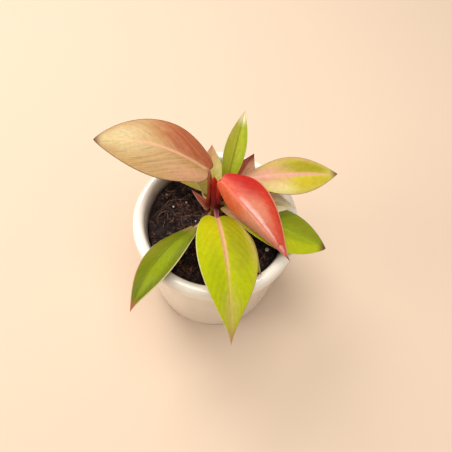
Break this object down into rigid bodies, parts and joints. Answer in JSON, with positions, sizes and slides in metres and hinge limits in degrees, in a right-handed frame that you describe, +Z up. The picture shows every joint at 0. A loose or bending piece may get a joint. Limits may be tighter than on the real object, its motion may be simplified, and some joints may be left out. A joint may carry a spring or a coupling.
{
  "type": "potted philodendron",
  "caption": "Cherry red philodendron in a round white glazed pot: broad pointed leaves in red, copper, lime and olive rise on petioles from one short stem in dark potting soil.",
  "frame": {"origin": "centre of the pot's flat base, on the surface it stands on", "axes": "+Z up; -Y the front, where the large lime leaf hangs over the rim; +X to the right as seen from the front"},
  "size_m": [0.1663, 0.1519, 0.1499],
  "materials": {
    "pot": "white glazed ceramic",
    "soil": "moist potting mix of bark, coir and perlite",
    "stem": "smooth living stem and sheath",
    "leaf_upper_left": "glossy living leaf",
    "leaf_back_small": "glossy living leaf",
    "leaf_back_green": "glossy living leaf",
    "leaf_back_maroon": "glossy living leaf",
    "leaf_right": "glossy living leaf",
    "leaf_cherry_red": "glossy living leaf",
    "leaf_right_small": "glossy living leaf",
    "leaf_lower_right": "glossy living leaf",
    "leaf_front": "glossy living leaf",
    "leaf_under_front": "glossy living leaf",
    "leaf_front_left": "glossy living leaf",
    "leaf_lower_left": "glossy living leaf",
    "cataphyll": "glossy living leaf"
  },
  "bodies": {
    "root": {"pot": "pot", "soil": "soil", "stem": "stem", "leaf_upper_left": "leaf_upper_left", "leaf_back_small": "leaf_back_small", "leaf_back_green": "leaf_back_green", "leaf_back_maroon": "leaf_back_maroon", "leaf_right": "leaf_right", "leaf_cherry_red": "leaf_cherry_red", "leaf_right_small": "leaf_right_small", "leaf_lower_right": "leaf_lower_right", "leaf_front": "leaf_front", "leaf_under_front": "leaf_under_front", "leaf_front_left": "leaf_front_left", "leaf_lower_left": "leaf_lower_left", "cataphyll": "cataphyll"}
  },
  "joints": []
}
